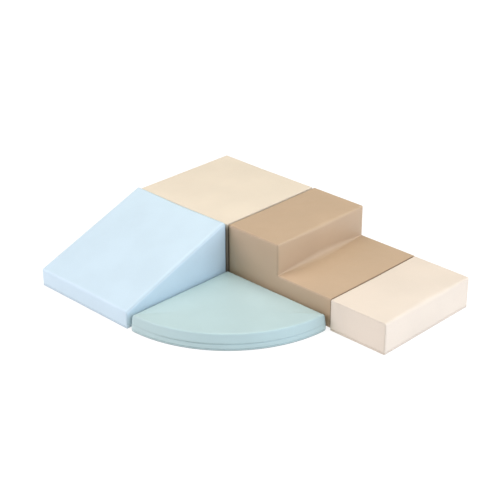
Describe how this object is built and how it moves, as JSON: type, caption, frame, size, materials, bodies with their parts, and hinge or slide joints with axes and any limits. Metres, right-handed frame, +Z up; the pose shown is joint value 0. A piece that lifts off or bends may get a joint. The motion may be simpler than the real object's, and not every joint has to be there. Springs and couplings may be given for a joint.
{
  "type": "soft play foam climber",
  "caption": "L-shaped modular foam climber: square corner block with a ramp, a stair, a low end block and a quarter-round pad in zipped vinyl covers.",
  "frame": {"origin": "on the floor, in the middle of the set's bounding box", "axes": "+Z up, +X from the ramp's nose towards the corner block, +Y from the end block towards the corner block"},
  "size_m": [1.2425, 1.574, 0.3117],
  "materials": {
    "cream_vinyl": "smooth satin coated vinyl",
    "sky_vinyl": "smooth satin coated vinyl",
    "tan_vinyl": "smooth satin coated vinyl",
    "ivory_vinyl": "smooth satin coated vinyl",
    "mint_vinyl": "smooth satin coated vinyl",
    "cream_webbing": "woven zip tape and hook-and-loop",
    "sky_webbing": "woven zip tape and hook-and-loop",
    "tan_webbing": "woven zip tape and hook-and-loop",
    "ivory_webbing": "woven zip tape and hook-and-loop",
    "mint_webbing": "woven zip tape and hook-and-loop",
    "cream_plastic": "moulded, matt",
    "sky_plastic": "moulded, matt",
    "tan_plastic": "moulded, matt",
    "ivory_plastic": "moulded, matt",
    "mint_plastic": "moulded, matt",
    "foam": "open-cell polyurethane foam"
  },
  "bodies": {
    "corner_block": {"corner_block_base": "cream_vinyl", "corner_block_core_lower": "foam", "corner_block_core_upper": "foam", "corner_block_cover": "cream_vinyl", "corner_block_ramp_loop_strip": "cream_webbing", "corner_block_stairs_loop_strip": "cream_webbing", "corner_block_zip_chain": "cream_webbing"},
    "ramp": {"ramp_base": "sky_vinyl", "ramp_core": "foam", "ramp_cover": "sky_vinyl", "ramp_hook_strip": "sky_webbing", "ramp_pad_loop_strip": "sky_webbing", "ramp_zip_chain": "sky_webbing"},
    "stairs": {"stairs_base": "tan_vinyl", "stairs_core_high": "foam", "stairs_core_low": "foam", "stairs_cover": "tan_vinyl", "stairs_hook_strip": "tan_webbing", "stairs_end_block_loop_strip": "tan_webbing", "stairs_pad_loop_strip": "tan_webbing", "stairs_zip_chain": "tan_webbing"},
    "end_block": {"end_block_base": "ivory_vinyl", "end_block_core": "foam", "end_block_cover": "ivory_vinyl", "end_block_hook_strip": "ivory_webbing", "end_block_zip_chain": "ivory_webbing"},
    "pad": {"pad_base": "mint_vinyl", "pad_core": "foam", "pad_cover": "mint_vinyl", "pad_ramp_hook_strip": "mint_webbing", "pad_stairs_hook_strip": "mint_webbing", "pad_zip_chain": "mint_webbing"},
    "corner_block_slider": {"corner_block_zip_slider": "cream_plastic"},
    "corner_block_pull": {"corner_block_zip_pull": "cream_plastic"},
    "ramp_slider": {"ramp_zip_slider": "sky_plastic"},
    "ramp_pull": {"ramp_zip_pull": "sky_plastic"},
    "stairs_slider": {"stairs_zip_slider": "tan_plastic"},
    "stairs_pull": {"stairs_zip_pull": "tan_plastic"},
    "end_block_slider": {"end_block_zip_slider": "ivory_plastic"},
    "end_block_pull": {"end_block_zip_pull": "ivory_plastic"},
    "pad_slider": {"pad_zip_slider": "mint_plastic"},
    "pad_pull": {"pad_zip_pull": "mint_plastic"}
  },
  "joints": [
    {"name": "ramp_release", "type": "slide", "parent": "corner_block", "child": "ramp", "axis": [-1, 0, 0], "range_m": [0, 0.3]},
    {"name": "stairs_release", "type": "slide", "parent": "corner_block", "child": "stairs", "axis": [0, -1, 0], "range_m": [0, 0.3]},
    {"name": "end_block_release", "type": "slide", "parent": "stairs", "child": "end_block", "axis": [0, -1, 0], "range_m": [0, 0.3]},
    {"name": "pad_release", "type": "slide", "parent": "corner_block", "child": "pad", "axis": [-0.7071, -0.7071, 0], "range_m": [0, 0.3]},
    {"name": "corner_block_zip_run", "type": "slide", "parent": "corner_block", "child": "corner_block_slider", "axis": [1, 0, 0], "range_m": [-0.4093, 0]},
    {"name": "corner_block_pull_hinge", "type": "hinge", "parent": "corner_block_slider", "child": "corner_block_pull", "pos_m": [0.5174, 0.7848, 0.0126], "axis": [0, 0, 1], "range_deg": [0, 170]},
    {"name": "ramp_zip_run", "type": "slide", "parent": "ramp", "child": "ramp_slider", "axis": [1, 0, 0], "range_m": [-0.4093, 0]},
    {"name": "ramp_pull_hinge", "type": "hinge", "parent": "ramp_slider", "child": "ramp_pull", "pos_m": [-0.1031, 0.7848, 0.0126], "axis": [0, 0, 1], "range_deg": [0, 170]},
    {"name": "stairs_zip_run", "type": "slide", "parent": "stairs", "child": "stairs_slider", "axis": [0, -1, 0], "range_m": [-0.4093, 0]},
    {"name": "stairs_pull_hinge", "type": "hinge", "parent": "stairs_slider", "child": "stairs_pull", "pos_m": [0.61905, -0.35165, 0.0126], "axis": [0, 0, 1], "range_deg": [0, 170]},
    {"name": "end_block_zip_run", "type": "slide", "parent": "end_block", "child": "end_block_slider", "axis": [0, -1, 0], "range_m": [-0.1793, 0]},
    {"name": "end_block_pull_hinge", "type": "hinge", "parent": "end_block_slider", "child": "end_block_pull", "pos_m": [0.60155, -0.72015, 0.0126], "axis": [0, 0, 1], "range_deg": [0, 170]},
    {"name": "pad_zip_run", "type": "slide", "parent": "pad", "child": "pad_slider", "axis": [1, 0, 0], "range_m": [-0.4093, 0]},
    {"name": "pad_pull_hinge", "type": "hinge", "parent": "pad_slider", "child": "pad_pull", "pos_m": [-0.09485, 0.1778, 0.0126], "axis": [0, 0, 1], "range_deg": [0, 5]}
  ]
}
